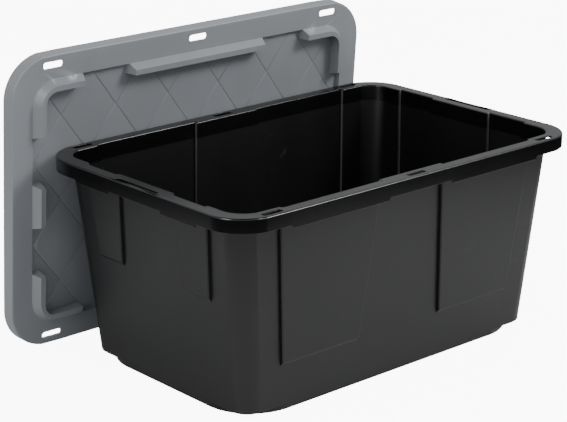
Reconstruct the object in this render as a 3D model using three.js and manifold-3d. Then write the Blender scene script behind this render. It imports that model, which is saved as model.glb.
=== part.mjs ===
// Stackable storage bin: a tapered black tub and its grey press-on lid, both injection mouldings.
// Millimetres, +Z up. The origin is the centre of the tub's underside; X runs along the bin's length.
// The lid stands on the floor behind the tub on one long edge and leans on the tub's rear rim.

import * as THREE from 'three';
import { mergeVertices } from 'three/addons/utils/BufferGeometryUtils.js';
import Module from 'manifold-3d';

const wasm = await Module();
wasm.setup();

// ---------------------------------------------------------------- driving dimensions

// Tub, outside
const rimLength = 756;
const rimWidth = 507;
const rimHeight = 350;
const rimCornerRadius = 69;
const tubWall = 3;
const wallDraft = 0.0914; // each wall leans in by this much per millimetre of depth
const wallCornerAtRim = 44;
const cornerDraft = 0.037; // the corner radius shrinks by this much per millimetre of depth

// Flange and turned-down skirt
const flangeWidth = 28.5; // from the flange's outer edge to the tub's inner face at a pad
const flangeThickness = 3;
const skirtDepth = 23.5;
const skirtExtraDepth = 5; // how much deeper the skirt is along the proud panels
const gripLipWidth = 8;
const gripLipThickness = 2.5;
const ribThickness = 2.5;
const ribDepth = 20;

// Proud panels: two on each side, between set-back pads at the corners and in the middle
const panelProud = 6;
const panelStepRun = 7; // a panel's edge slopes over this length
const longPanel = { from: 62, to: 278, ledgeHeight: 80 };
const shortPanel = { from: 60, to: 160, ledgeHeight: 190 };
const panelEndGap = 8; // from a panel's foot line to the end of the deeper skirt

// Foot
const footHeight = 10;
const footInset = 0.8;
const footCornerRadius = 88;

// Slots for cable ties and padlocks, and hand slots
const slotLength = 38;
const slotWidth = 11;
const slotCornerRadius = 4.5;
const slotFromRimEdge = 13.5;
const slotFromRimEnd = 77; // from the rim's short edge to the centre of an end slot
const handSlotLength = 104;
const handSlotWidth = 8;
const handSlotFromRimEdge = 8;

// Lid, in its own closed position: z = 0 is the underside that rests on the tub's flange
const lidWall = 2.5;
const lidRimClearance = 1; // between the tub's flange edge and the inside of the lid's skirt
const lidSkirtDraft = 1;
const bandThickness = 3;
const lidSkirtDepth = 20;
const lidEdgeRound = 3;
const lidCornerRadius = 73;
const trayClearance = 6; // between the lid's sunk tray and the tub's pads
const panelDrop = 8; // the centre panel lies this far below the band's top
const recessCornerRadius = 45;
const blockHeight = 14; // above the band's top
const blockOuterSlope = 8.5;
const blockInnerCornerRadius = 22;
const stackClearance = 2.5; // between a stacked bin's foot and the locating blocks
const longGap = { from: 150, to: 239 }; // gaps between the blocks along a long edge
const shortGap = { from: 42, to: 117 };
const gapEndSlope = 8;

// Diamond lattice pressed into the lid's centre panel
const diamondWidth = 111.6;
const diamondHeight = 148;
const grooveWidth = 6;
const grooveDepth = 1.4;

// How the lid stands behind the tub
const leanAngle = THREE.MathUtils.degToRad(4.7);
const lidShift = -49;
const touchGap = 0.4;

const arcSegments = 10; // per quarter turn
const overlap = 1; // how far joined shapes run into each other

// ---------------------------------------------------------------- solids

function solid(geometry) {
  const bare = geometry.clone();
  bare.deleteAttribute('normal');
  bare.deleteAttribute('uv');
  const merged = mergeVertices(bare, 1e-4);
  const vertProperties = new Float32Array(merged.getAttribute('position').array);
  const triVerts = new Uint32Array(merged.getIndex().array);
  return new wasm.Manifold(new wasm.Mesh({ numProp: 3, vertProperties, triVerts }));
}

function join(solids) {
  return solids.reduce((whole, piece) => whole.add(piece));
}

function meshOf(name, body, material) {
  const { vertProperties, triVerts } = body.getMesh();
  const geometry = new THREE.BufferGeometry();
  geometry.setAttribute('position', new THREE.BufferAttribute(new Float32Array(vertProperties), 3));
  geometry.setIndex(new THREE.BufferAttribute(new Uint32Array(triVerts), 1));
  geometry.computeVertexNormals();
  const mesh = new THREE.Mesh(geometry, material);
  mesh.name = name;
  return mesh;
}

// A mirror image of a geometry, with its faces still pointing outwards.
function mirrored(geometry, x, y) {
  const copy = geometry.index ? geometry.toNonIndexed() : geometry.clone();
  copy.scale(x, y, 1);
  if (x * y < 0) {
    const position = copy.getAttribute('position');
    const first = new THREE.Vector3();
    const second = new THREE.Vector3();
    for (let i = 0; i < position.count; i += 3) {
      first.fromBufferAttribute(position, i);
      second.fromBufferAttribute(position, i + 1);
      position.setXYZ(i, second.x, second.y, second.z);
      position.setXYZ(i + 1, first.x, first.y, first.z);
    }
  }
  return copy;
}

const corners = [[1, 1], [-1, 1], [-1, -1], [1, -1]];

function inAllCorners(geometry) {
  return corners.map(([x, y]) => solid(mirrored(geometry, x, y)));
}

// ---------------------------------------------------------------- outlines and blocks

// A centred rectangle with round corners: half its length and width, and its corner radius.
function outline(halfLength, halfWidth, radius) {
  return { halfLength, halfWidth, radius };
}

function inset(line, distance) {
  return outline(line.halfLength - distance, line.halfWidth - distance, line.radius - distance);
}

function roundedShape({ halfLength, halfWidth, radius }) {
  const x = halfLength - radius;
  const y = halfWidth - radius;
  const quarter = Math.PI / 2;
  const shape = new THREE.Shape();
  shape.absarc(x, y, radius, 0, quarter);
  shape.absarc(-x, y, radius, quarter, 2 * quarter);
  shape.absarc(-x, -y, radius, 2 * quarter, 3 * quarter);
  shape.absarc(x, -y, radius, 3 * quarter, 4 * quarter);
  return shape;
}

// A block between two outlines, low at bottom and high at top. Its sides slope straight between them.
function block(low, high, bottom, top) {
  const geometry = new THREE.ExtrudeGeometry(roundedShape(low), {
    depth: top - bottom,
    bevelEnabled: false,
    curveSegments: arcSegments,
  });
  const position = geometry.getAttribute('position');
  const grow = high.radius / low.radius;
  for (let i = 0; i < position.count; i += 1) {
    if (position.getZ(i) > 0) {
      const sideX = Math.sign(position.getX(i));
      const sideY = Math.sign(position.getY(i));
      const alongX = position.getX(i) - sideX * (low.halfLength - low.radius);
      const alongY = position.getY(i) - sideY * (low.halfWidth - low.radius);
      const x = sideX * (high.halfLength - high.radius) + alongX * grow;
      const y = sideY * (high.halfWidth - high.radius) + alongY * grow;
      position.setXY(i, x, y);
    }
  }
  geometry.translate(0, 0, bottom);
  return solid(geometry);
}

function box(x0, x1, y0, y1, z0, z1) {
  const geometry = new THREE.BoxGeometry(x1 - x0, y1 - y0, z1 - z0);
  geometry.translate((x0 + x1) / 2, (y0 + y1) / 2, (z0 + z1) / 2);
  return geometry;
}

// A unit box whose corners are placed by a rule: place(u, v, w) with each of u, v, w either 0 or 1.
function shapedBox(place) {
  const geometry = new THREE.BoxGeometry(1, 1, 1);
  const position = geometry.getAttribute('position');
  for (let i = 0; i < position.count; i += 1) {
    const unit = [position.getX(i) + 0.5, position.getY(i) + 0.5, position.getZ(i) + 0.5];
    const [x, y, z] = place(...unit.map(Math.round));
    position.setXYZ(i, x, y, z);
  }
  return geometry;
}

function slot(length, width, radius, x, y, z0, z1) {
  const geometry = new THREE.ExtrudeGeometry(roundedShape(outline(length / 2, width / 2, radius)), {
    depth: z1 - z0,
    bevelEnabled: false,
    curveSegments: 4,
  });
  geometry.translate(x, y, z0);
  return geometry;
}

// ---------------------------------------------------------------- tub

const rimOutline = outline(rimLength / 2, rimWidth / 2, rimCornerRadius);

// The outer face of the pads and corners at height z.
function wallOutline(z) {
  const depth = rimHeight - z;
  return outline(
    rimOutline.halfLength - flangeWidth + tubWall - wallDraft * depth,
    rimOutline.halfWidth - flangeWidth + tubWall - wallDraft * depth,
    wallCornerAtRim - cornerDraft * depth,
  );
}

// One proud panel in the quarter where x and y are both positive, or the hollow behind it.
// skin is 0 for the outside and the wall's thickness for the hollow.
function panel({ from, to, ledgeHeight }, alongLength, skin, top) {
  const slope = panelStepRun / panelProud;
  const faceShift = skin * Math.hypot(slope, 1);
  return shapedBox((u, v, w) => {
    const rootOffset = -skin - overlap;
    const offset = (alongLength ? v : 1 - v) === 1 ? panelProud - skin : rootOffset;
    const ledge = ledgeHeight + offset + skin * Math.SQRT2;
    const z = w === 1 ? top : ledge;
    const narrowing = wallDraft * (rimHeight - z) + offset * slope + faceShift;
    const along = u === 0 ? from + narrowing : to - narrowing;
    const wallLine = wallOutline(z);
    if (alongLength) {
      return [along, wallLine.halfWidth + offset, z];
    }
    return [wallLine.halfLength + offset, along, z];
  });
}

function panels(skin, top) {
  const onLongSides = inAllCorners(panel(longPanel, true, skin, top));
  const onShortSides = inAllCorners(panel(shortPanel, false, skin, top));
  return join([...onLongSides, ...onShortSides]);
}

const footOutline = outline(
  wallOutline(footHeight).halfLength - footInset,
  wallOutline(footHeight).halfWidth - footInset,
  footCornerRadius,
);

function tubOutside() {
  const walls = block(wallOutline(footHeight), wallOutline(rimHeight), footHeight, rimHeight);
  const foot = block(footOutline, footOutline, 0, footHeight + overlap);
  return join([walls, foot, panels(0, rimHeight - flangeThickness / 2)]);
}

function tubInside() {
  const floor = footHeight + tubWall;
  const above = rimHeight + overlap;
  const space = block(inset(wallOutline(floor), tubWall), inset(wallOutline(above), tubWall), floor, above);
  const footSpace = inset(footOutline, tubWall);
  const well = block(footSpace, footSpace, tubWall, floor + overlap);
  return join([space, well, panels(tubWall, above)]);
}

// The skirt's deeper runs, the inward lip of each hand-hold and the ribs under the flange.
function underRim() {
  const outerX = rimOutline.halfLength;
  const outerY = rimOutline.halfWidth;
  const top = rimHeight - flangeThickness / 2;
  const deep = rimHeight - skirtDepth - skirtExtraDepth;
  const ribBottom = rimHeight - ribDepth;
  const lipBottom = rimHeight - skirtDepth;
  const longRun = [longPanel.from + panelEndGap, longPanel.to - panelEndGap];
  const shortRun = [shortPanel.from + panelEndGap, shortPanel.to - panelEndGap];
  const pieces = [
    box(...longRun, outerY - tubWall, outerY, deep, top),
    box(outerX - tubWall, outerX, ...shortRun, deep, top),
  ];
  for (const x of longRun) {
    const y0 = wallOutline(ribBottom).halfWidth - overlap;
    pieces.push(box(x - ribThickness / 2, x + ribThickness / 2, y0, outerY - overlap, ribBottom, top));
  }
  for (const y of shortRun) {
    const x0 = wallOutline(ribBottom).halfLength - overlap;
    pieces.push(box(x0, outerX - overlap, y - ribThickness / 2, y + ribThickness / 2, ribBottom, top));
  }
  const lip = box(outerX - gripLipWidth, outerX, -overlap, shortRun[0], lipBottom, lipBottom + gripLipThickness);
  return join([...pieces, lip].flatMap(inAllCorners));
}

function rimSlots() {
  const z0 = rimHeight - flangeThickness - overlap;
  const z1 = rimHeight + overlap;
  return join([...lockSlots(z0, z1), ...handSlots(z0, z1)]);
}

// Six lock slots: three along each long edge, in the same places on the tub and on the lid.
function lockSlots(z0, z1) {
  const y = rimOutline.halfWidth - slotFromRimEdge;
  const endX = rimOutline.halfLength - slotFromRimEnd;
  return [-endX, 0, endX].flatMap((x) => [-y, y].map(
    (side) => solid(slot(slotLength, slotWidth, slotCornerRadius, x, side, z0, z1)),
  ));
}

function handSlots(z0, z1) {
  const x = rimOutline.halfLength - handSlotFromRimEdge;
  const radius = handSlotWidth / 2 - 0.5;
  return [-x, x].map((side) => solid(slot(handSlotWidth, handSlotLength, radius, side, 0, z0, z1)));
}

function tubBody() {
  const flange = block(rimOutline, rimOutline, rimHeight - flangeThickness, rimHeight);
  const skirtOuter = block(rimOutline, rimOutline, rimHeight - skirtDepth, rimHeight);
  const skirtLine = inset(rimOutline, tubWall);
  const skirtInner = block(skirtLine, skirtLine, rimHeight - skirtDepth - overlap, rimHeight + overlap);
  const skirt = skirtOuter.subtract(skirtInner);
  return join([tubOutside(), flange, skirt, underRim()]).subtract(tubInside()).subtract(rimSlots());
}

// ---------------------------------------------------------------- lid, in its closed position

const lidInsideTop = outline(
  rimOutline.halfLength + lidRimClearance,
  rimOutline.halfWidth + lidRimClearance,
  lidCornerRadius - lidWall,
);
const lidInsideBottom = inset(lidInsideTop, -lidSkirtDraft);
const lidOutsideTop = inset(lidInsideTop, -lidWall);
const lidOutsideBottom = inset(lidInsideBottom, -lidWall);
const bandEdge = inset(lidOutsideTop, lidEdgeRound);
const recessInset = flangeWidth + trayClearance + lidWall;
const recessOutline = outline(
  rimOutline.halfLength - recessInset,
  rimOutline.halfWidth - recessInset,
  recessCornerRadius,
);
const panelTop = bandThickness - panelDrop;
const panelUnderside = panelTop - lidWall;
const blockTop = bandThickness + blockHeight;

// The inner faces of the locating blocks stand around a stacked bin's foot.
const blockInner = outline(
  footOutline.halfLength + stackClearance,
  footOutline.halfWidth + stackClearance,
  blockInnerCornerRadius,
);

function lidShell() {
  const skirt = block(lidOutsideBottom, lidOutsideTop, -lidSkirtDepth, 0);
  const edge = block(lidOutsideTop, bandEdge, 0, bandThickness);
  const hollow = block(lidInsideBottom, lidInsideTop, -lidSkirtDepth, 0);
  const tray = inset(recessOutline, -lidWall);
  const recess = block(recessOutline, recessOutline, panelTop, bandThickness + overlap);
  return join([skirt, edge])
    .subtract(hollow)
    .add(block(tray, tray, panelUnderside, overlap))
    .subtract(recess);
}

// The gaps in the ring of blocks, in every quarter. Their ends slope; skin widens the blocks' walls.
function ringGaps(skin) {
  const z0 = panelUnderside - overlap;
  const z1 = blockTop + overlap;
  const reach = recessOutline.halfLength + overlap;
  const gap = ({ from, to }, alongLength) => shapedBox((u, v, w) => {
    const grow = (w === 1 ? gapEndSlope : 0) + skin;
    const across = alongLength ? v : u;
    const along = alongLength ? u : v;
    const far = across === 1 ? reach : 0;
    const place = along === 0 ? from - grow : to + grow;
    return alongLength ? [place, far, w === 1 ? z1 : z0] : [far, place, w === 1 ? z1 : z0];
  });
  const long = inAllCorners(gap(longGap, true));
  const short = inAllCorners(gap(shortGap, false));
  return join([...long, ...short]);
}

// The ring of locating blocks as solid bars, or the hollows under them when skin is the wall.
function blockRing(skin) {
  const outerLow = inset(recessOutline, skin);
  const outerHigh = inset(outerLow, blockOuterSlope);
  const inner = inset(blockInner, -skin);
  const top = blockTop - skin;
  const bottom = skin > 0 ? panelUnderside - overlap : panelUnderside;
  const ring = join([
    block(outerLow, outerLow, bottom, bandThickness),
    block(outerLow, outerHigh, bandThickness, top),
  ]);
  const middle = block(inner, inner, bottom - overlap, top + overlap);
  return ring.subtract(middle).subtract(ringGaps(skin));
}

// Grooves along both diagonals of the diamonds, kept clear of the blocks.
function lattice() {
  const stepX = diamondWidth / 2;
  const stepY = diamondHeight / 2;
  const angle = Math.atan2(stepY, stepX);
  const reach = Math.hypot(recessOutline.halfLength, recessOutline.halfWidth);
  const lines = Math.ceil((recessOutline.halfLength + recessOutline.halfWidth * stepX / stepY) / stepX);
  const profile = new THREE.Shape([
    new THREE.Vector2(-grooveWidth / 2, overlap),
    new THREE.Vector2(-grooveWidth / 2, 0),
    new THREE.Vector2(-grooveWidth / 6, -grooveDepth),
    new THREE.Vector2(grooveWidth / 6, -grooveDepth),
    new THREE.Vector2(grooveWidth / 2, 0),
    new THREE.Vector2(grooveWidth / 2, overlap),
  ]);
  const grooves = [];
  for (let line = -lines; line <= lines; line += 1) {
    if (line % 2 !== 0) {
      for (const turn of [angle, -angle]) {
        const groove = new THREE.ExtrudeGeometry(profile, { depth: 2 * reach, bevelEnabled: false });
        groove.translate(0, 0, -reach);
        groove.rotateX(Math.PI / 2);
        groove.rotateZ(turn - Math.PI / 2);
        groove.translate(line * stepX, 0, panelTop);
        grooves.push(solid(groove));
      }
    }
  }
  const margin = 1;
  const z0 = panelTop - grooveDepth - overlap;
  const z1 = panelTop + 2 * overlap;
  const openPanel = block(inset(blockInner, margin), inset(blockInner, margin), z0, z1);
  const floorLine = inset(recessOutline, margin);
  const gapFloor = block(floorLine, floorLine, z0, z1).intersect(ringGaps(-margin));
  return join(grooves).intersect(openPanel.add(gapFloor));
}

function lidBody() {
  return lidShell()
    .add(blockRing(0))
    .subtract(blockRing(lidWall))
    .subtract(lattice())
    .subtract(join(lockSlots(-overlap, bandThickness + overlap)));
}

// ---------------------------------------------------------------- materials and assembly

const blackPlastic = new THREE.MeshStandardMaterial({ color: 0x1d1d1e, roughness: 0.45, metalness: 0 });
const greyPlastic = new THREE.MeshStandardMaterial({ color: 0x6b7073, roughness: 0.5, metalness: 0 });

// How far a height above the floor is up the standing lid, from its middle.
function upTheLid(height, footZ) {
  return (height - footZ + bandThickness * Math.sin(leanAngle)) / Math.cos(leanAngle);
}

// The lid turns its top towards the tub, stands on its long side's lowest line and leans on the rear rim.
// The rim touches the flat band where it meets a gap in the blocks, and the blocks elsewhere.
function standingLid(lid) {
  const skirtEdgeDown = lidOutsideBottom.halfWidth * Math.cos(leanAngle) - lidSkirtDepth * Math.sin(leanAngle);
  const footZ = Math.max(skirtEdgeDown, lidOutsideTop.halfWidth * Math.cos(leanAngle));
  const rimTop = upTheLid(rimHeight, footZ);
  const rimLow = upTheLid(rimHeight - skirtDepth - skirtExtraDepth, footZ);
  const meetsGap = rimLow > shortGap.from && rimTop < shortGap.to;
  const touching = meetsGap ? bandThickness : blockTop;
  const y = rimOutline.halfWidth + touchGap + rimTop * Math.sin(leanAngle) + touching * Math.cos(leanAngle);
  const place = new THREE.Group();
  place.rotation.x = Math.PI / 2 + leanAngle;
  place.position.set(lidShift, y, footZ);
  place.add(lid);
  return place;
}

const group = new THREE.Group();
group.add(meshOf('tub', tubBody(), blackPlastic));
group.add(standingLid(meshOf('lid', lidBody(), greyPlastic)));

export default group;
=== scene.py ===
import math
from collections import namedtuple

import bmesh
import bpy
from mathutils import Matrix, Vector


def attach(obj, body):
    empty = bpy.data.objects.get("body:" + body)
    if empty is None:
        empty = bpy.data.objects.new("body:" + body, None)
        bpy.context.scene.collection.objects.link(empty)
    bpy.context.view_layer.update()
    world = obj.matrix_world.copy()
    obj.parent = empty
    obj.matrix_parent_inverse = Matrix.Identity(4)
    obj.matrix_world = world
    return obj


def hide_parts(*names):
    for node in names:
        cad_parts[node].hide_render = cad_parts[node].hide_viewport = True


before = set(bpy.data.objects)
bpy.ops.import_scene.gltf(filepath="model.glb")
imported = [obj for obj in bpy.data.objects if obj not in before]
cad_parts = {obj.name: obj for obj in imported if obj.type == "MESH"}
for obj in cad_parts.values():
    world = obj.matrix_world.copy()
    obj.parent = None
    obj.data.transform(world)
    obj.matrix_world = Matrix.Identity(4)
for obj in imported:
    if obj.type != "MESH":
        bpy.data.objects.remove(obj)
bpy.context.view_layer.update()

# The tub and the lid are modelled in millimetres, and scaled to metres when they are finished.
# The lid is modelled lying flat, as it lies on the tub, and then stood up behind the tub.

MM = 0.001

# ---------------------------------------------------------------- sizes, in millimetres

# The tub's walls, flange and skirt. The drafts are how much a side and a corner's radius shrink
# for each millimetre further down.
RIM_HEIGHT = 350
WALL = 3
WALL_DRAFT = 0.0914
CORNER_DRAFT = 0.037
WALL_CORNER_AT_RIM = 44
FLANGE_WIDTH = 28.5
FLANGE_THICKNESS = 3
SKIRT_DEPTH = 23.5
SKIRT_EXTRA_DEPTH = 5
SKIRT_STEP_RUN = 2.5

# A panel runs between two distances from the middle of its side, and begins above its ledge.
# The skirt is deeper between two such distances as well.
PANEL_PROUD = 6
PANEL_STEP_RUN = 0.6
LONG_PANEL = (66, 279)
LONG_LEDGE = 80
SHORT_PANEL = (66, 154.4)
SHORT_LEDGE = 190
LONG_SKIRT_DEEP = (70, 270)
SHORT_SKIRT_DEEP = (68, 152)

# The ribs under the flange, and the lips to grip inside the skirt.
RIB_THICKNESS = 2.5
RIB_LOW = 330
RIB_TOP = 348.5
GRIP_LIP_REACH = 8
GRIP_LIP_THICKNESS = 2.5
GRIP_LIP_HALF = 66

FOOT_HEIGHT = 10
FOOT_INSET = 0.8
FOOT_CORNER = 88

LOCK_SLOT_LENGTH = 38
LOCK_SLOT_WIDTH = 11
LOCK_SLOT_CORNER = 4.4
LOCK_SLOT_FROM_EDGE = 13.5
LOCK_SLOT_FROM_END = 77
HAND_SLOT_LENGTH = 104
HAND_SLOT_WIDTH = 8
HAND_SLOT_CORNER = 3.4
HAND_SLOT_FROM_EDGE = 8

LID_WALL = 2.5
LID_EDGE_ROUND = 3
LID_SKIRT_DRAFT = 1
LID_SKIRT_DEPTH = 20
BAND_THICKNESS = 3
RECESS_CORNER = 45
PANEL_TOP = -5
PANEL_UNDERSIDE = -7.5
BLOCK_TOP = 17
BLOCK_SLOPE = 8.5
BLOCK_INNER_CORNER = 22
STACK_CLEARANCE = 2.5
LONG_GAP = (150, 239)
SHORT_GAP = (42, 117)

# How the lid's surfaces run where a block ends and a gap between blocks begins.
BLOCK_END_RUN = 7.7
BAND_GAP_RUN = 3.5
GAP_FOOT_RUN = 1.06
GAP_WALL_RUN = 0.4
GAP_INNER_PUSH = 2
HOLLOW_FOOT_PULL = 1
HOLLOW_BACK_RUN = 3
HOLLOW_FRONT_PUSH = 1.5

# Spare marks near the corners, so that all the lid's rings have equally many points.
LONG_CORNER_MARKS = (262, 280)
SHORT_CORNER_MARK = 150

DIAMOND_WIDTH = 111.6
DIAMOND_HEIGHT = 148
GROOVE_WIDTH = 6
GROOVE_DEPTH = 1.4

LEAN = math.radians(4.7)
LID_PLACE = Vector((-49, 264.627, 256.136))

# The painted highlight lines in the tub, pale lines that stand in for light on the step corners: how far
# behind the pads' inner face they lie, and how far they spread across the wall's thickness and along the
# wall.
HIGHLIGHT_SINK = 2.7
HIGHLIGHT_REACH = 2.2
HIGHLIGHT_WIDTH = 1.1

# How finely corners are drawn, and how wide the rounded edges are.
CORNER_STEPS = 16
SLOT_EDGE_ROUND = 0.6
STEP_EDGE_ROUND = 2.2
RIM_EDGE_ROUND = 3
SKIRT_EDGE_ROUND = 2
FOOT_EDGE_ROUND = 2
FLOOR_ROUND = 4
BLOCK_EDGE_ROUND = 1.5
NEAR_ENOUGH = 0.1
QUARTER_TURN = [math.radians(angle) for angle in (0, 30, 60, 90)]
SHARP_EDGE = math.radians(50)

Outline = namedtuple("Outline", "length width radius")  # half the length and width, and the corner's radius


def inset(line, distance):
    """The outline that lies a distance inside another."""
    return Outline(line.length - distance, line.width - distance, line.radius - distance)


RIM = Outline(378, 253.5, 69)
LID_EDGE = Outline(381.5, 257, 73)
RECESS = Outline(341, 216.5, RECESS_CORNER)


def wall_line(z):
    """The outer face of the tub's pads and corners at a height."""
    depth = RIM_HEIGHT - z
    back = FLANGE_WIDTH - WALL + WALL_DRAFT * depth
    return Outline(RIM.length - back, RIM.width - back, WALL_CORNER_AT_RIM - CORNER_DRAFT * depth)


FOOT_SIDES = inset(wall_line(FOOT_HEIGHT), FOOT_INSET)
FOOT = Outline(FOOT_SIDES.length, FOOT_SIDES.width, FOOT_CORNER)
BLOCK_INNER = Outline(FOOT.length + STACK_CLEARANCE, FOOT.width + STACK_CLEARANCE, BLOCK_INNER_CORNER)

# ---------------------------------------------------------------- rings and lofts

Mark = namedtuple("Mark", "along push z")  # a point on a side: how far along, how far pushed out, how high


def side_reach(half, limit, radius, along):
    """How far out an outline's side is at a distance along it, with its corner's arc past the limit."""
    over = along - limit
    if over <= 0:
        return half
    return half - radius + math.sqrt(max(radius * radius - over * over, 0))


def ring(line, z, short, long, straight=False):
    """A closed ring of points on an outline. short and long are the marks from the middle of each side."""
    limit_y = line.width - line.radius
    limit_x = line.length - line.radius
    bend = 0 if straight else line.radius
    quarter = [Vector((line.length + short[0].push, 0, short[0].z))]
    for mark in short[1:]:
        reach = side_reach(line.length, limit_y, bend, mark.along) if bend else line.length
        quarter.append(Vector((reach + mark.push, mark.along, mark.z)))
    start = math.asin(min(max((short[-1].along - limit_y) / line.radius, 0), 1))
    end = math.acos(min(max((long[-1].along - limit_x) / line.radius, 0), 1))
    for step in range(CORNER_STEPS):
        angle = start + (end - start) * (step + 0.5) / CORNER_STEPS
        x = limit_x + line.radius * math.cos(angle)
        y = limit_y + line.radius * math.sin(angle)
        quarter.append(Vector((x, y, z)))
    for mark in reversed(long[1:]):
        reach = side_reach(line.width, limit_x, bend, mark.along) if bend else line.width
        quarter.append(Vector((mark.along, reach + mark.push, mark.z)))
    quarter.append(Vector((0, line.width + long[0].push, long[0].z)))
    second = [Vector((-p.x, p.y, p.z)) for p in reversed(quarter[:-1])]
    third = [Vector((-p.x, -p.y, p.z)) for p in quarter[1:]]
    fourth = [Vector((p.x, -p.y, p.z)) for p in reversed(quarter[1:-1])]
    return quarter + second + third + fourth


def level(values, z):
    """Marks at one height, at the middle of a side and at each distance along it."""
    return [Mark(value, 0, z) for value in [0, *values]]


def loft(rings):
    """A closed skin through the rings, with a flat face on the first and the last."""
    bm = bmesh.new()
    bmesh.ops.create_circle(bm, cap_ends=True, segments=len(rings[0]), radius=1)
    row = list(bm.verts)
    rows = [row]
    for vert, point in zip(row, rings[0]):
        vert.co = point
    for points in rings[1:]:
        edges = [bm.edges.get((row[i - 1], row[i])) for i in range(len(row))]
        grown = bmesh.ops.extrude_edge_only(bm, edges=edges)["geom"]
        fresh = {item for item in grown if isinstance(item, bmesh.types.BMVert)}
        row = [next(e.other_vert(v) for e in v.link_edges if e.other_vert(v) in fresh) for v in row]
        for vert, point in zip(row, points):
            vert.co = point
        rows.append(row)
    edges = [bm.edges.get((row[i - 1], row[i])) for i in range(len(row))]
    bmesh.ops.edgeloop_fill(bm, edges=edges)
    bmesh.ops.recalc_face_normals(bm, faces=bm.faces)
    return bm, rows


def split(bm, rows, low, place_low, high, place_high):
    """Splits the twisted quads between two rows along the true fold, in all four quarters."""
    count = len(rows[low])
    for a, b in zip(places(place_low, count), places(place_high, count)):
        bmesh.ops.connect_verts(bm, verts=[rows[low][a], rows[high][b]])


def places(index, count):
    """The four places in a ring that mirror one place in its first quarter, in the order of the quarters."""
    half = count // 2
    return [index % count, (half - index) % count, (half + index) % count, (count - index) % count]


def bend_of(edge):
    """The angle in degrees between an edge's two faces."""
    if len(edge.link_faces) != 2:
        return 0
    return math.degrees(edge.calc_face_angle(0))


def round_edges(bm, width, steps, chosen, least=20, convex_only=False, clamp=True):
    """Rounds every edge that bends by more than least degrees and whose two ends are both chosen."""
    edges = [
        e for e in bm.edges
        if bend_of(e) > least and (e.is_convex or not convex_only) and all(chosen(v.co) for v in e.verts)
    ]
    bmesh.ops.bevel(
        bm, geom=edges, offset=width, offset_type="OFFSET", segments=steps, profile=0.5, material=-1,
        affect="EDGES", clamp_overlap=clamp, loop_slide=True,
    )


def cut_slot(bm, x, y, half_x, half_y, low, high, corner):
    """Opens a slot through a plate between two levels, and rounds its corners and its edges."""
    def inside(point, spare):
        return (
            abs(point.x - x) < half_x + spare
            and abs(point.y - y) < half_y + spare
            and low - NEAR_ENOUGH < point.z < high + NEAR_ENOUGH
        )

    faces = [f for f in bm.faces if inside(f.calc_center_median(), 0) and abs(f.normal.z) > 0.9]
    bmesh.ops.delete(bm, geom=faces, context="FACES")
    edges = [e for e in bm.edges if e.is_boundary]
    bmesh.ops.bridge_loops(bm, edges=edges)
    upright = [
        e for e in bm.edges
        if inside(e.verts[0].co, 2 * NEAR_ENOUGH) and inside(e.verts[1].co, 2 * NEAR_ENOUGH)
        and abs(e.verts[0].co.z - e.verts[1].co.z) > 1 and bend_of(e) > 45
    ]
    bmesh.ops.bevel(
        bm, geom=upright, offset=corner, offset_type="OFFSET", segments=5, profile=0.5, material=-1,
        affect="EDGES", clamp_overlap=True,
    )
    mouth = [
        e for e in bm.edges
        if inside(e.verts[0].co, 2 * NEAR_ENOUGH) and inside(e.verts[1].co, 2 * NEAR_ENOUGH)
        and abs(e.verts[0].co.z - e.verts[1].co.z) < NEAR_ENOUGH and bend_of(e) > 45
    ]
    bmesh.ops.bevel(
        bm, geom=mouth, offset=SLOT_EDGE_ROUND, offset_type="OFFSET", segments=2, profile=0.5, material=-1,
        affect="EDGES", clamp_overlap=True,
    )


def new_piece(name, bm, body, node):
    """Turns a finished mesh, already in metres and in place, into the piece that stands for a CAD node."""
    for face in bm.faces:
        face.smooth = True
    mesh = bpy.data.meshes.new(name)
    bm.to_mesh(mesh)
    bm.free()
    piece = bpy.data.objects.new(name, mesh)
    bpy.context.scene.collection.objects.link(piece)
    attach(piece, body)
    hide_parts(node)
    return piece


def apply_modifier(piece, kind, **settings):
    """Adds one modifier to a piece and makes its result the piece's own mesh."""
    modifier = piece.modifiers.new(kind.lower(), kind)
    for key, value in settings.items():
        setattr(modifier, key, value)
    graph = bpy.context.evaluated_depsgraph_get()
    mesh = bpy.data.meshes.new_from_object(piece.evaluated_get(graph))
    piece.modifiers.clear()
    piece.data = mesh


def helper(name, bm):
    """A short-lived object for cutting with. combine removes it again."""
    mesh = bpy.data.meshes.new(name)
    bm.to_mesh(mesh)
    bm.free()
    thing = bpy.data.objects.new(name, mesh)
    bpy.context.scene.collection.objects.link(thing)
    return thing


def combine(piece, tool, operation):
    """Cuts a piece with a tool, or keeps only what lies inside the tool, and removes the tool."""
    apply_modifier(piece, "BOOLEAN", object=tool, operation=operation, solver="EXACT")
    bpy.data.objects.remove(tool)


# ---------------------------------------------------------------- tub


def wall_marks(z, skin):
    """The marks of a wall at a height: pads at the middle and the ends, a proud panel between them."""
    lean = WALL_DRAFT * (RIM_HEIGHT - z)
    edge = lean + skin * (math.hypot(PANEL_STEP_RUN / PANEL_PROUD, 1) - PANEL_STEP_RUN / PANEL_PROUD)
    ledge_lift = PANEL_PROUD / 2 + skin * (math.sqrt(2) - 1)

    def panel(ends, ledge):
        push = PANEL_PROUD if z > ledge + ledge_lift else 0
        return [
            Mark(ends[0] + edge, 0, z),
            Mark(ends[0] + edge + PANEL_STEP_RUN, push, z),
            Mark(ends[1] - edge - PANEL_STEP_RUN, push, z),
            Mark(ends[1] - edge, 0, z),
        ]

    slot_half = LOCK_SLOT_LENGTH / 2
    slot_end = RIM.length - LOCK_SLOT_FROM_END + slot_half
    long = [Mark(0, 0, z), Mark(slot_half, 0, z), *panel(LONG_PANEL, LONG_LEDGE)]
    long += [Mark(slot_end - LOCK_SLOT_LENGTH - lean, 0, z), Mark(slot_end - lean, 0, z)]
    short = [Mark(0, 0, z), Mark(HAND_SLOT_LENGTH / 2, 0, z), *panel(SHORT_PANEL, SHORT_LEDGE)]
    return short, long


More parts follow.
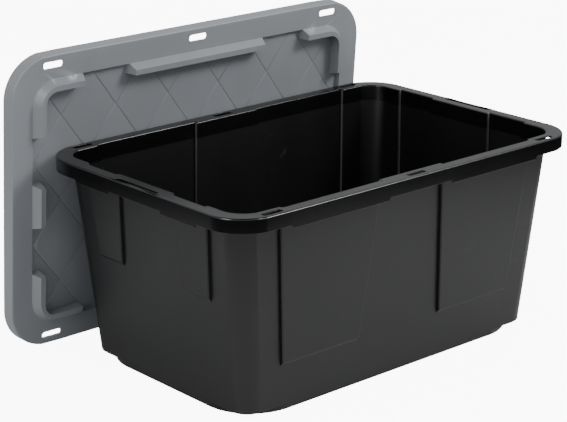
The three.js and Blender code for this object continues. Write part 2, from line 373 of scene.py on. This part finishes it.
def rim_marks(z, deep=0):
    """The marks of the flange and the skirt. deep is how much lower the skirt is along the panels."""
    half_run = SKIRT_STEP_RUN / 2

    def run(first, last):
        return [
            Mark(first - half_run, 0, z),
            Mark(first + half_run, 0, z - deep),
            Mark(last - half_run, 0, z - deep),
            Mark(last + half_run, 0, z),
        ]

    slot_half = LOCK_SLOT_LENGTH / 2
    slot_middle = RIM.length - LOCK_SLOT_FROM_END
    long = [Mark(0, 0, z), Mark(slot_half, 0, z), *run(*LONG_SKIRT_DEEP)]
    long += [Mark(slot_middle - slot_half, 0, z), Mark(slot_middle + slot_half, 0, z)]
    short = [Mark(0, 0, z), Mark(HAND_SLOT_LENGTH / 2, 0, z), *run(*SHORT_SKIRT_DEEP)]
    return short, long


def plain_marks(line, z, shorts, longs):
    """Marks with nothing on them, spread evenly over the straight part of each side."""
    def spread(straight, count):
        return [Mark(straight * i / count, 0, z) for i in range(count + 1)]

    return spread(line.width - line.radius, shorts), spread(line.length - line.radius, longs)


def wall_ring(z, skin=0):
    return ring(inset(wall_line(z), skin), z, *wall_marks(z, skin))


def rim_ring(distance, z, deep=0, straight=False):
    return ring(inset(RIM, distance), z, *rim_marks(z, deep), straight=straight)


def foot_ring(distance, z):
    line = inset(FOOT, distance)
    return ring(line, z, *plain_marks(line, z, 5, 7))


def wall_levels(skin):
    """The heights at which a wall changes, from the bottom up: the two ledges' feet and tops."""
    lift = skin * (math.sqrt(2) - 1)
    return [ledge + lift + rise for ledge in (LONG_LEDGE, SHORT_LEDGE) for rise in (0, PANEL_PROUD)]


# How far in from the rim's edge the long edges of the hand slots and the lock slots lie.
HAND_SLOT_EDGES = [HAND_SLOT_FROM_EDGE + side * HAND_SLOT_WIDTH / 2 for side in (-1, 1)]
LOCK_SLOT_EDGES = [LOCK_SLOT_FROM_EDGE + side * LOCK_SLOT_WIDTH / 2 for side in (-1, 1)]
SLOT_INSETS = sorted(HAND_SLOT_EDGES + LOCK_SLOT_EDGES)


def tub_skin():
    top = RIM_HEIGHT
    under = RIM_HEIGHT - FLANGE_THICKNESS
    skirt_low = RIM_HEIGHT - SKIRT_DEPTH
    floor = FOOT_HEIGHT + WALL
    round_middle = WALL + FLOOR_ROUND * 0.3
    rings = [foot_ring(WALL + FLOOR_ROUND, WALL), foot_ring(round_middle, round_middle)]
    rings += [foot_ring(WALL, WALL + FLOOR_ROUND)]
    rings += [foot_ring(WALL, floor - 0.5), foot_ring(WALL - 0.5, floor)]
    rings += [ring(inset(wall_line(floor), WALL + 0.2), floor, *wall_marks(floor, WALL))]
    rings += [wall_ring(z, WALL) for z in (floor + 1.5, *wall_levels(WALL), top)]
    inwards = (0, *SLOT_INSETS)
    rings += [rim_ring(distance, top, straight=distance in SLOT_INSETS) for distance in reversed(inwards)]
    rings += [rim_ring(0, skirt_low, SKIRT_EXTRA_DEPTH), rim_ring(WALL, skirt_low, SKIRT_EXTRA_DEPTH)]
    inwards = (WALL, *SLOT_INSETS)
    rings += [rim_ring(distance, under, straight=distance in SLOT_INSETS) for distance in inwards]
    rings += [wall_ring(z) for z in (under, *reversed(wall_levels(0)), FOOT_HEIGHT + 2)]
    rings += [ring(inset(wall_line(FOOT_HEIGHT), 0.1), FOOT_HEIGHT + 0.8, *wall_marks(FOOT_HEIGHT, 0))]
    rings += [ring(inset(wall_line(FOOT_HEIGHT), 0.5), FOOT_HEIGHT, *wall_marks(FOOT_HEIGHT, 0))]
    rings += [foot_ring(0, FOOT_HEIGHT - 0.3)]
    rings += [
        foot_ring(FOOT_EDGE_ROUND * (1 - math.cos(angle)), FOOT_EDGE_ROUND * (1 - math.sin(angle)))
        for angle in QUARTER_TURN
    ]
    return loft(rings)


def tub_mesh():
    bm, _ = tub_skin()
    top = RIM_HEIGHT
    under = RIM_HEIGHT - FLANGE_THICKNESS
    slot_y = RIM.width - LOCK_SLOT_FROM_EDGE
    slot_x = RIM.length - LOCK_SLOT_FROM_END
    hand_x = RIM.length - HAND_SLOT_FROM_EDGE
    for y in (-slot_y, slot_y):
        for x in (-slot_x, 0, slot_x):
            cut_slot(bm, x, y, LOCK_SLOT_LENGTH / 2, LOCK_SLOT_WIDTH / 2, under, top, LOCK_SLOT_CORNER)
    for x in (-hand_x, hand_x):
        cut_slot(bm, x, 0, HAND_SLOT_WIDTH / 2, HAND_SLOT_LENGTH / 2, under, top, HAND_SLOT_CORNER)

    def on_wall(p):
        clear = SLOT_INSETS[-1] + 2 * NEAR_ENOUGH
        within = abs(p.x) < RIM.length - clear and abs(p.y) < RIM.width - clear
        return within and FOOT_HEIGHT + 20 < p.z < top + 1

    round_edges(bm, STEP_EDGE_ROUND, 4, on_wall, convex_only=True, clamp=False)

    def on_edge(p):
        return p.z > top - NEAR_ENOUGH and rim_distance(p) < NEAR_ENOUGH

    def on_skirt_foot(p):
        return FOOT_HEIGHT + 100 < p.z < under - 5 and rim_distance(p) < NEAR_ENOUGH

    round_edges(bm, RIM_EDGE_ROUND, 5, on_edge, least=40, clamp=False)
    round_edges(bm, SKIRT_EDGE_ROUND, 4, on_skirt_foot, least=40)
    return bm


def rim_distance(p):
    """How far a point is inside the rim's outer edge."""
    x = abs(p.x) - (RIM.length - RIM.radius)
    y = abs(p.y) - (RIM.width - RIM.radius)
    if x > 0 and y > 0:
        return RIM.radius - math.hypot(x, y)
    return min(RIM.length - abs(p.x), RIM.width - abs(p.y))


def to_metres(bm):
    bmesh.ops.scale(bm, vec=(MM, MM, MM), verts=bm.verts)


def box(bm, low, high):
    """One closed box between two opposite corners."""
    verts = bmesh.ops.create_cube(bm, size=1)["verts"]
    bmesh.ops.scale(bm, vec=[b - a for a, b in zip(low, high)], verts=verts)
    bmesh.ops.translate(bm, vec=[(a + b) / 2 for a, b in zip(low, high)], verts=verts)


def add_stiffeners(bm):
    """The ribs between wall and skirt under the flange, and the two grip lips inside the skirt."""
    half = RIB_THICKNESS / 2
    wall_y = wall_line(RIM_HEIGHT).width + WALL
    wall_x = wall_line(RIM_HEIGHT).length + WALL
    for side in (-1, 1):
        y = sorted((side * wall_y, side * (RIM.width - WALL / 2)))
        x = sorted((side * wall_x, side * (RIM.length - WALL / 2)))
        for end in (-1, 1):
            for along in LONG_SKIRT_DEEP:
                box(bm, (end * along - half, y[0], RIB_LOW), (end * along + half, y[1], RIB_TOP))
            for along in SHORT_SKIRT_DEEP:
                box(bm, (x[0], end * along - half, RIB_LOW), (x[1], end * along + half, RIB_TOP))
        lip = sorted((side * (RIM.length - GRIP_LIP_REACH), side * (RIM.length - WALL + 0.5)))
        lip_low = RIM_HEIGHT - SKIRT_DEPTH
        box(bm, (lip[0], -GRIP_LIP_HALF, lip_low), (lip[1], GRIP_LIP_HALF, lip_low + GRIP_LIP_THICKNESS))


def make_tub():
    bm = tub_mesh()
    bmesh.ops.dissolve_degenerate(bm, dist=0.001, edges=bm.edges)
    add_stiffeners(bm)
    to_metres(bm)
    return new_piece("tub_moulding", bm, "tub", "tub")


# ---------------------------------------------------------------- lid


def gap_marks(z_block, z_gap, gap_push, shift, skin=0):
    """The marks round the ring of blocks: the blocks at one height and the gaps between them at another."""
    grow_block = BLOCK_END_RUN + skin
    grow_gap = shift + skin

    def gap(ends):
        return [
            Mark(ends[0] - grow_block, 0, z_block),
            Mark(ends[0] - grow_gap, gap_push, z_gap),
            Mark(ends[1] + grow_gap, gap_push, z_gap),
            Mark(ends[1] + grow_block, 0, z_block),
        ]

    long = [Mark(0, 0, z_block), Mark(LOCK_SLOT_LENGTH / 2, 0, z_block), *gap(LONG_GAP)]
    long += [Mark(along, 0, z_block) for along in LONG_CORNER_MARKS]
    short = [Mark(0, 0, z_block), *gap(SHORT_GAP), Mark(SHORT_CORNER_MARK, 0, z_block)]
    return short, long


def band_marks(z):
    def gap(ends):
        first, last = ends
        return [first - BLOCK_END_RUN, first - BAND_GAP_RUN, last + BAND_GAP_RUN, last + BLOCK_END_RUN]

    slot_half = LOCK_SLOT_LENGTH / 2
    slot_middle = RIM.length - LOCK_SLOT_FROM_END
    long = [slot_half, *gap(LONG_GAP), slot_middle - slot_half, slot_middle + slot_half]
    return level([*gap(SHORT_GAP), SHORT_CORNER_MARK], z), level(long, z)


def band_ring(distance, z, straight=False):
    return ring(inset(LID_EDGE, distance), z, *band_marks(z), straight=straight)


def block_ring(line, z_block, z_gap, gap_push=0, shift=GAP_FOOT_RUN, skin=0):
    return ring(line, z_block, *gap_marks(z_block, z_gap, gap_push, shift, skin))


def lid_skin():
    slot_middle = LID_EDGE.width - RIM.width + LOCK_SLOT_FROM_EDGE
    slot_in = slot_middle - LOCK_SLOT_WIDTH / 2
    slot_out = slot_middle + LOCK_SLOT_WIDTH / 2
    tray = inset(RECESS, -LID_WALL)
    hollow = inset(RECESS, LID_WALL)
    hollow_inner = inset(BLOCK_INNER, -LID_WALL)
    low = PANEL_UNDERSIDE
    rings = [block_ring(BLOCK_INNER, PANEL_TOP, PANEL_TOP)]
    rings += [block_ring(BLOCK_INNER, BLOCK_TOP, PANEL_TOP, gap_push=GAP_INNER_PUSH)]
    gap_push = BLOCK_SLOPE - GAP_WALL_RUN
    rings += [block_ring(inset(RECESS, BLOCK_SLOPE), BLOCK_TOP, PANEL_TOP, gap_push=gap_push)]
    rings += [ring(RECESS, BAND_THICKNESS, *gap_marks(BAND_THICKNESS, BAND_THICKNESS, 0, BAND_GAP_RUN))]
    rings += [band_ring(slot_out, BAND_THICKNESS, True), band_ring(slot_in, BAND_THICKNESS, True)]
    rings += [
        band_ring(LID_EDGE_ROUND * (1 - math.sin(angle)), LID_EDGE_ROUND * math.cos(angle))
        for angle in QUARTER_TURN
    ]
    rings += [band_ring(back - LID_SKIRT_DRAFT, -LID_SKIRT_DEPTH) for back in (0, LID_WALL)]
    rings += [band_ring(LID_WALL, 0), band_ring(slot_in, 0, True), band_ring(slot_out, 0, True)]
    rings += [ring(tray, 0, *gap_marks(0, 0, 0, BAND_GAP_RUN)), ring(tray, low, *gap_marks(low, low, 0, 1))]

    def hollow_ring(line, z_block, gap_push=0):
        return block_ring(line, z_block, low, gap_push=gap_push, skin=LID_WALL)

    roof = BLOCK_TOP - LID_WALL
    rings += [hollow_ring(hollow, low)]
    rings += [hollow_ring(hollow, BAND_THICKNESS, -HOLLOW_FOOT_PULL)]
    rings += [hollow_ring(inset(hollow, BLOCK_SLOPE), roof, BLOCK_SLOPE - HOLLOW_BACK_RUN)]
    rings += [hollow_ring(hollow_inner, roof, HOLLOW_FRONT_PUSH)]
    rings += [hollow_ring(hollow_inner, low)]
    return loft(rings)


def lid_mesh():
    bm, rows = lid_skin()
    count = len(rows[0])
    quarter = count // 4
    # The places in a ring of the two block ends in a quarter's side, each with the gap beside it.
    long_side = [(quarter - 2, quarter - 3), (quarter - 5, quarter - 4)]
    short_side = [(1, 2), (4, 3)]
    for block, gap in long_side + short_side:
        split(bm, rows, 0, gap, 1, block)
        split(bm, rows, 2, block, 3, gap)

    slot_y = RIM.width - LOCK_SLOT_FROM_EDGE
    slot_x = RIM.length - LOCK_SLOT_FROM_END
    half_x = LOCK_SLOT_LENGTH / 2
    half_y = LOCK_SLOT_WIDTH / 2
    for y in (-slot_y, slot_y):
        for x in (-slot_x, 0, slot_x):
            cut_slot(bm, x, y, half_x, half_y, 0, BAND_THICKNESS, LOCK_SLOT_CORNER)

    def on_blocks(p):
        within = abs(p.x) < RECESS.length + 0.5 and abs(p.y) < RECESS.width + 0.5
        return within and p.z > PANEL_TOP - NEAR_ENOUGH

    round_edges(bm, BLOCK_EDGE_ROUND, 3, on_blocks)
    bmesh.ops.dissolve_degenerate(bm, dist=0.02, edges=bm.edges)
    bmesh.ops.remove_doubles(bm, verts=bm.verts, dist=0.02)
    return bm


def groove_bars(turn):
    """Parallel bars with sloping sides, along one diagonal of the diamonds."""
    bm = bmesh.new()
    step_x = DIAMOND_WIDTH / 2
    step_y = DIAMOND_HEIGHT / 2
    angle = turn * math.atan2(step_y, step_x)
    lines = math.ceil((RECESS.length + RECESS.width * step_x / step_y) / step_x)
    bar_length = 900
    foot_share = 0.25
    for line in range(-lines, lines + 1):
        if line % 2:
            bar = bmesh.ops.create_cube(bm, size=1)["verts"]
            bmesh.ops.scale(bm, vec=(bar_length, GROOVE_WIDTH, GROOVE_DEPTH + 1), verts=bar)
            foot = [v for v in bar if v.co.z < 0]
            bmesh.ops.scale(bm, vec=(1, foot_share, 1), verts=foot)
            bmesh.ops.rotate(bm, cent=(0, 0, 0), matrix=Matrix.Rotation(angle, 3, "Z"), verts=bar)
            place = (line * step_x, 0, PANEL_TOP + (1 - GROOVE_DEPTH) / 2)
            bmesh.ops.translate(bm, vec=place, verts=bar)
    return bm


def groove_field():
    """The room in which the grooves may run: the open panel and the floors of the gaps."""
    low = PANEL_TOP - GROOVE_DEPTH - 3
    high = PANEL_TOP + 3

    def field_ring(z):
        reach = RECESS.length - BLOCK_INNER.length - 3
        return ring(inset(BLOCK_INNER, 2), z, *gap_marks(z, z, reach, -2))

    bm, _ = loft([field_ring(low), field_ring(high)])
    return bm


def make_lid():
    bm = lid_mesh()
    to_metres(bm)
    lid = new_piece("lid_moulding", bm, "lid", "lid")
    for turn in (1, -1):
        bars = groove_bars(turn)
        to_metres(bars)
        field = groove_field()
        to_metres(field)
        cutter = helper("grooves", bars)
        combine(cutter, helper("groove_field", field), "INTERSECT")
        combine(lid, cutter, "DIFFERENCE")
    stand = Matrix.Translation(LID_PLACE * MM) @ Matrix.Rotation(math.pi / 2 + LEAN, 4, "X")
    lid.data.transform(stand)
    return lid


# ---------------------------------------------------------------- material parts


def node(tree, kind, **settings):
    made = tree.nodes.new(kind)
    for key, value in settings.items():
        setattr(made, key, value)
    return made


def math_node(tree, operation, first, second, clamp=False):
    made = node(tree, "ShaderNodeMath", operation=operation, use_clamp=clamp)
    for place, value in enumerate((first, second)):
        if isinstance(value, bpy.types.NodeSocket):
            tree.links.new(value, made.inputs[place])
        else:
            made.inputs[place].default_value = value
    return made.outputs[0]


def noise(tree, vector, scale, detail=3, roughness=0.5):
    made = node(tree, "ShaderNodeTexNoise")
    tree.links.new(vector, made.inputs["Vector"])
    made.inputs["Detail"].default_value = detail
    made.inputs["Roughness"].default_value = roughness
    if isinstance(scale, bpy.types.NodeSocket):
        tree.links.new(scale, made.inputs["Scale"])
    else:
        made.inputs["Scale"].default_value = scale
    return made.outputs["Fac"]


def stretch(tree, value, low, high, to_low=0, to_high=1):
    made = node(tree, "ShaderNodeMapRange")
    tree.links.new(value, made.inputs["Value"])
    for name, number in (("From Min", low), ("From Max", high), ("To Min", to_low), ("To Max", to_high)):
        made.inputs[name].default_value = number
    return made.outputs["Result"]


def group(name, inputs, outputs):
    """An empty node group with named number, vector and colour sockets."""
    made = bpy.data.node_groups.new(name, "ShaderNodeTree")
    for socket, kind in inputs:
        made.interface.new_socket(socket, in_out="INPUT", socket_type=kind)
    for socket, kind in outputs:
        made.interface.new_socket(socket, in_out="OUTPUT", socket_type=kind)
    return made, node(made, "NodeGroupInput"), node(made, "NodeGroupOutput")


VECTOR = ("Vector", "NodeSocketVector")


def build_grain():
    """The fine spark-eroded grain of the mould and the slow waviness of a large moulded wall."""
    tree, given, out = group(
        "moulded_grain",
        [VECTOR, ("Grain Scale", "NodeSocketFloat"), ("Waviness", "NodeSocketFloat")],
        [("Height", "NodeSocketFloat")],
    )
    fine = noise(tree, given.outputs["Vector"], given.outputs["Grain Scale"], 4, 0.6)
    slow = noise(tree, given.outputs["Vector"], 9, 2, 0.4)
    wave = math_node(tree, "MULTIPLY", slow, given.outputs["Waviness"])
    tree.links.new(math_node(tree, "ADD", fine, wave), out.inputs["Height"])
    return tree


def build_mottle():
    """Slow tone changes where the melt flowed, drawn out along the height."""
    tree, given, out = group(
        "flow_mottle", [VECTOR, ("Contrast", "NodeSocketFloat")], [("Value", "NodeSocketFloat")]
    )
    drawn = node(tree, "ShaderNodeMapping")
    tree.links.new(given.outputs["Vector"], drawn.inputs["Vector"])
    drawn.inputs["Scale"].default_value = (1, 1, 0.25)
    patches = stretch(tree, noise(tree, drawn.outputs["Vector"], 6, 4, 0.55), 0.3, 0.7, -1, 1)
    tree.links.new(math_node(tree, "MULTIPLY", patches, given.outputs["Contrast"]), out.inputs["Value"])
    return tree


def build_scuffs():
    """Fine hairline rubs from handling, in a few patches."""
    tree, given, out = group(
        "handling_scuffs", [VECTOR, ("Amount", "NodeSocketFloat")], [("Mask", "NodeSocketFloat")]
    )
    lines = None
    for turn in (0.4, -0.9):
        turned = node(tree, "ShaderNodeMapping")
        tree.links.new(given.outputs["Vector"], turned.inputs["Vector"])
        turned.inputs["Rotation"].default_value = (turn, turn * 0.7, turn)
        turned.inputs["Scale"].default_value = (1, 28, 1)
        hair = stretch(tree, noise(tree, turned.outputs["Vector"], 14, 6, 0.7), 0.62, 0.72)
        lines = hair if lines is None else math_node(tree, "MAXIMUM", lines, hair)
    patch = stretch(tree, noise(tree, given.outputs["Vector"], 5, 2, 0.5), 0.5, 0.68)
    shown = math_node(tree, "MULTIPLY", lines, patch)
    tree.links.new(math_node(tree, "MULTIPLY", shown, given.outputs["Amount"], True), out.inputs["Mask"])
    return tree


def build_dust():
    """A thin film of dust on faces that look up."""
    tree, given, out = group(
        "settled_dust", [VECTOR, ("Amount", "NodeSocketFloat")], [("Mask", "NodeSocketFloat")]
    )
    facing = node(tree, "ShaderNodeNewGeometry")
    parts = node(tree, "ShaderNodeSeparateXYZ")
    tree.links.new(facing.outputs["Normal"], parts.inputs[0])
    up = stretch(tree, parts.outputs["Z"], 0.5, 1)
    specks = stretch(tree, noise(tree, given.outputs["Vector"], 180, 5, 0.7), 0.45, 0.75)
    shown = math_node(tree, "MULTIPLY", up, specks)
    tree.links.new(math_node(tree, "MULTIPLY", shown, given.outputs["Amount"], True), out.inputs["Mask"])
    return tree


GROUPS = {"grain": build_grain(), "mottle": build_mottle(), "scuffs": build_scuffs(), "dust": build_dust()}


def placed(tree, name, vector, **values):
    made = node(tree, "ShaderNodeGroup", node_tree=GROUPS[name])
    tree.links.new(vector, made.inputs["Vector"])
    for key, value in values.items():
        made.inputs[key.replace("_", " ")].default_value = value
    return made.outputs[0]


def blend_colours(tree, factor, first, second):
    made = node(tree, "ShaderNodeMix", data_type="RGBA")
    tree.links.new(factor, made.inputs["Factor"])
    for socket, value in ((made.inputs["A"], first), (made.inputs["B"], second)):
        if isinstance(value, bpy.types.NodeSocket):
            tree.links.new(value, socket)
        else:
            socket.default_value = (*value, 1)
    return made.outputs["Result"]


def moulded_plastic(name, base, deep, scuffed, dusty, rough, dust, gloss_above=None, step_highlight_colour=None):
    """A moulded plastic: mottled colour, hairline scuffs, a little dust and the mould's grain."""
    material = bpy.data.materials.new(name)
    material.use_nodes = True
    tree = material.node_tree
    surface = tree.nodes["Principled BSDF"]
    place = node(tree, "ShaderNodeTexCoord").outputs["Object"]
    mottle = placed(tree, "mottle", place, Contrast=0.5)
    tone = math_node(tree, "ADD", mottle, 0.5, True)
    scuffs = placed(tree, "scuffs", place, Amount=0.5)
    film = placed(tree, "dust", place, Amount=dust)
    colour = blend_colours(tree, tone, deep, base)
    colour = blend_colours(tree, scuffs, colour, scuffed)
    colour = blend_colours(tree, film, colour, dusty)
    # Pale lines on the inner step corners: a painted highlight where the tub's steps catch light.
    if step_highlight_colour is not None:
        colour = blend_colours(tree, painted_step_highlights(tree, place), colour, step_highlight_colour)
    tree.links.new(colour, surface.inputs["Base Color"])
    satin = surface_roughness(tree, scuffs, rough, mottle, gloss_above, place)
    tree.links.new(satin, surface.inputs["Roughness"])
    height_map = placed(tree, "grain", place, Grain_Scale=900, Waviness=3)
    relief = node(tree, "ShaderNodeBump")
    relief.inputs["Strength"].default_value = 0.12
    relief.inputs["Distance"].default_value = 0.0004
    tree.links.new(height_map, relief.inputs["Height"])
    tree.links.new(relief.outputs["Normal"], surface.inputs["Normal"])
    return material


def painted_step_highlights(tree, place):
    """Painted highlight: pale lines on the upright corners of the pads inside the tub, and nowhere else."""
    parts = node(tree, "ShaderNodeSeparateXYZ")
    tree.links.new(place, parts.inputs[0])
    x = math_node(tree, "ABSOLUTE", parts.outputs["X"], 0)
    y = math_node(tree, "ABSOLUTE", parts.outputs["Y"], 0)
    depth = math_node(tree, "SUBTRACT", RIM_HEIGHT * MM, parts.outputs["Z"])
    lean = math_node(tree, "MULTIPLY", depth, WALL_DRAFT)
    below_rim = math_node(tree, "GREATER_THAN", depth, 0.001)
    inside = inset(wall_line(RIM_HEIGHT), WALL)
    shift = WALL * (math.hypot(PANEL_STEP_RUN / PANEL_PROUD, 1) - PANEL_STEP_RUN / PANEL_PROUD)

    def near(value, target, reach):
        gap = math_node(tree, "ABSOLUTE", math_node(tree, "SUBTRACT", value, target * MM), 0)
        return stretch(tree, gap, reach * MM, reach * MM / 3)

    total = None
    for along, across, half, panel, ledge in (
        (x, y, inside.width, LONG_PANEL, LONG_LEDGE), (y, x, inside.length, SHORT_PANEL, SHORT_LEDGE),
    ):
        on_step = near(math_node(tree, "ADD", across, lean), half + HIGHLIGHT_SINK, HIGHLIGHT_REACH)
        above = math_node(tree, "GREATER_THAN", parts.outputs["Z"], (ledge + PANEL_PROUD) * MM)
        on_step = math_node(tree, "MULTIPLY", on_step, above)
        middle = shift + PANEL_STEP_RUN / 2
        first = near(math_node(tree, "SUBTRACT", along, lean), panel[0] + middle, HIGHLIGHT_WIDTH)
        last = near(math_node(tree, "ADD", along, lean), panel[1] - middle, HIGHLIGHT_WIDTH)
        corner = math_node(tree, "MULTIPLY", on_step, math_node(tree, "MAXIMUM", first, last))
        total = corner if total is None else math_node(tree, "MAXIMUM", total, corner)
    return math_node(tree, "MULTIPLY", total, below_rim, True)


def surface_roughness(tree, scuffs, rough, mottle, gloss_above, place):
    """The satin walls, the glossier rim above a height, and the dulling by scuffs."""
    value = math_node(tree, "ADD", math_node(tree, "MULTIPLY", mottle, 0.05), rough)
    if gloss_above is not None:
        height = node(tree, "ShaderNodeSeparateXYZ")
        tree.links.new(place, height.inputs[0])
        fade = 0.004
        smoother = stretch(tree, height.outputs["Z"], gloss_above, gloss_above + fade, 0, -0.15)
        value = math_node(tree, "ADD", value, smoother)
    return math_node(tree, "ADD", value, math_node(tree, "MULTIPLY", scuffs, 0.15), True)


# ---------------------------------------------------------------- camera, floor and lights


def place_camera():
    """The camera's place and turn: azimuth from the -Y axis, elevation, and a slight roll."""
    azimuth = math.radians(-41.29)
    elevation = math.radians(17.99)
    roll = math.radians(-0.20)
    place = (-2.0489, -2.2555, 1.2184)
    level_reach = math.cos(elevation)
    back = Vector((math.sin(azimuth) * level_reach, -math.cos(azimuth) * level_reach, math.sin(elevation)))
    right = (-back).cross(Vector((0, 0, 1))).normalized()
    up = right.cross(-back)
    turned_right = right * math.cos(roll) + up * math.sin(roll)
    turned_up = up * math.cos(roll) - right * math.sin(roll)
    data = bpy.data.cameras.new("camera")
    data.sensor_width = 36
    data.lens = 120.63
    data.clip_end = 100
    camera = bpy.data.objects.new("camera", data)
    bpy.context.scene.collection.objects.link(camera)
    turn = Matrix((turned_right, turned_up, back)).transposed()
    camera.matrix_world = Matrix.Translation(place) @ turn.to_4x4()
    bpy.context.scene.camera = camera


def flat_material(name, colour, roughness):
    material = bpy.data.materials.new(name)
    material.use_nodes = True
    surface = material.node_tree.nodes["Principled BSDF"]
    surface.inputs["Base Color"].default_value = (*colour, 1)
    surface.inputs["Roughness"].default_value = roughness
    surface.inputs["Specular IOR Level"].default_value = 0
    return material


def flat_sheet(name, size_x, size_y, place, material):
    """A level sheet that belongs to the studio, not to the bin."""
    bm = bmesh.new()
    bmesh.ops.create_grid(bm, x_segments=1, y_segments=1, size=0.5)
    bmesh.ops.scale(bm, vec=(size_x, size_y, 1), verts=bm.verts)
    bmesh.ops.translate(bm, vec=place, verts=bm.verts)
    mesh = bpy.data.meshes.new(name)
    bm.to_mesh(mesh)
    bm.free()
    sheet = bpy.data.objects.new(name, mesh)
    mesh.materials.append(material)
    bpy.context.scene.collection.objects.link(sheet)
    return sheet


def area_light(name, place, aim, size, power):
    data = bpy.data.lights.new(name, "AREA")
    data.shape = "RECTANGLE"
    data.size, data.size_y = size
    data.energy = power
    light = bpy.data.objects.new(name, data)
    light.location = place
    light.rotation_euler = (Vector(aim) - Vector(place)).to_track_quat("-Z", "Y").to_euler()
    bpy.context.scene.collection.objects.link(light)


def floor_paint():
    """A pale matt floor. It looks brighter than it lights, so that shadows on it stay faint.

    In reflections it turns dark away from the bin.
    """
    pale = (0.8, 0.8, 0.8)
    dark = (0.01, 0.01, 0.01)
    glow = 9.0
    fade_start = 0.45
    fade_end = 0.85
    material = flat_material("floor_paint", pale, 0.9)
    tree = material.node_tree
    surface = tree.nodes["Principled BSDF"]
    seen = node(tree, "ShaderNodeLightPath").outputs["Is Camera Ray"]
    surface.inputs["Emission Color"].default_value = (1, 1, 1, 1)
    tree.links.new(math_node(tree, "MULTIPLY", seen, glow), surface.inputs["Emission Strength"])
    place = node(tree, "ShaderNodeSeparateXYZ")
    tree.links.new(node(tree, "ShaderNodeTexCoord").outputs["Object"], place.inputs[0])
    away = []
    for axis, half in (("X", RIM.length), ("Y", RIM.width)):
        past = math_node(tree, "SUBTRACT", math_node(tree, "ABSOLUTE", place.outputs[axis], 0), half * MM)
        away.append(math_node(tree, "POWER", math_node(tree, "MAXIMUM", past, 0), 2))
    distance = math_node(tree, "SQRT", math_node(tree, "ADD", away[0], away[1]), 0)
    fading = stretch(tree, distance, fade_start, fade_end)
    reflected = node(tree, "ShaderNodeLightPath").outputs["Is Glossy Ray"]
    dimmed = math_node(tree, "MULTIPLY", fading, reflected, True)
    colour = blend_colours(tree, dimmed, pale, dark)
    tree.links.new(colour, surface.inputs["Base Color"])
    return material


def flag(name, size_x, size_y, place, paint):
    """A level card overhead that is seen only in reflections."""
    card = flat_sheet(name, size_x, size_y, place, paint)
    card.visible_camera = False
    card.visible_diffuse = False
    card.visible_shadow = False
    return card


def flag_paint(name, brightness):
    """A card's own even brightness, whatever light falls on it."""
    material = flat_material(name, (0, 0, 0), 1)
    surface = material.node_tree.nodes["Principled BSDF"]
    surface.inputs["Emission Color"].default_value = (1, 1, 1, 1)
    surface.inputs["Emission Strength"].default_value = brightness
    return material


def place_cards():
    """A dark card over the open tub, and two small bright ones that draw a line of light along the rim."""
    flag("top_card", 1.7, 1.7, (0, 0, 1.7), flag_paint("dark_card", 0.02))
    bright = flag_paint("bright_card", 35)
    flag("left_card", 0.5, 0.5, (-2.1, -0.04, 2.12), bright)
    flag("front_card", 0.5, 0.5, (0.1, -1.94, 2.12), bright)


def light_the_studio():
    flat_sheet("floor", 40, 40, (0, 0, -0.0005), floor_paint())
    place_cards()
    world = bpy.data.worlds.new("studio")
    bpy.context.scene.world = world
    world.use_nodes = True
    background = world.node_tree.nodes["Background"]
    sky = node(world.node_tree, "ShaderNodeTexCoord").outputs["Generated"]
    height = node(world.node_tree, "ShaderNodeSeparateXYZ")
    world.node_tree.links.new(sky, height.inputs[0])
    rise = stretch(world.node_tree, height.outputs["Z"], 0.1, 0.6)
    shade = blend_colours(world.node_tree, rise, (0.45, 0.46, 0.47), (0.97, 0.985, 1))
    world.node_tree.links.new(shade, background.inputs["Color"])
    background.inputs["Strength"].default_value = 0.9
    area_light("key_softbox", (2.0, -2.2, 2.8), (-0.1, 0.2, 0.2), (1.2, 1.2), 110)
    area_light("left_softbox", (-2.6, -0.2, 1.2), (-0.3, 0.2, 0.25), (1.0, 1.6), 16)


# ---------------------------------------------------------------- the bin

tub = make_tub()
lid = make_lid()

# The black's pale colour on the inner step corners is a painted highlight, not wear.
black = moulded_plastic(
    "black_polypropylene",
    base=(0.002, 0.002, 0.0021), deep=(0.0014, 0.0014, 0.0015), scuffed=(0.03, 0.03, 0.031),
    dusty=(0.05, 0.05, 0.05), rough=0.36, gloss_above=0.3205, dust=0.1, step_highlight_colour=(0.09, 0.09, 0.09))
grey = moulded_plastic(
    "grey_polyethylene", base=(0.25, 0.264, 0.28), deep=(0.225, 0.238, 0.252), scuffed=(0.26, 0.27, 0.28),
    dusty=(0.3, 0.3, 0.3), rough=0.42, dust=0.15)
tub.data.materials.clear()
tub.data.materials.append(black)
lid.data.materials.clear()
lid.data.materials.append(grey)

for piece in (tub, lid):
    piece.data.set_sharp_from_angle(angle=SHARP_EDGE)
    shading = piece.modifiers.new("flat_faces_first", "WEIGHTED_NORMAL")
    shading.keep_sharp = True

place_camera()
light_the_studio()

bpy.context.view_layer.update()
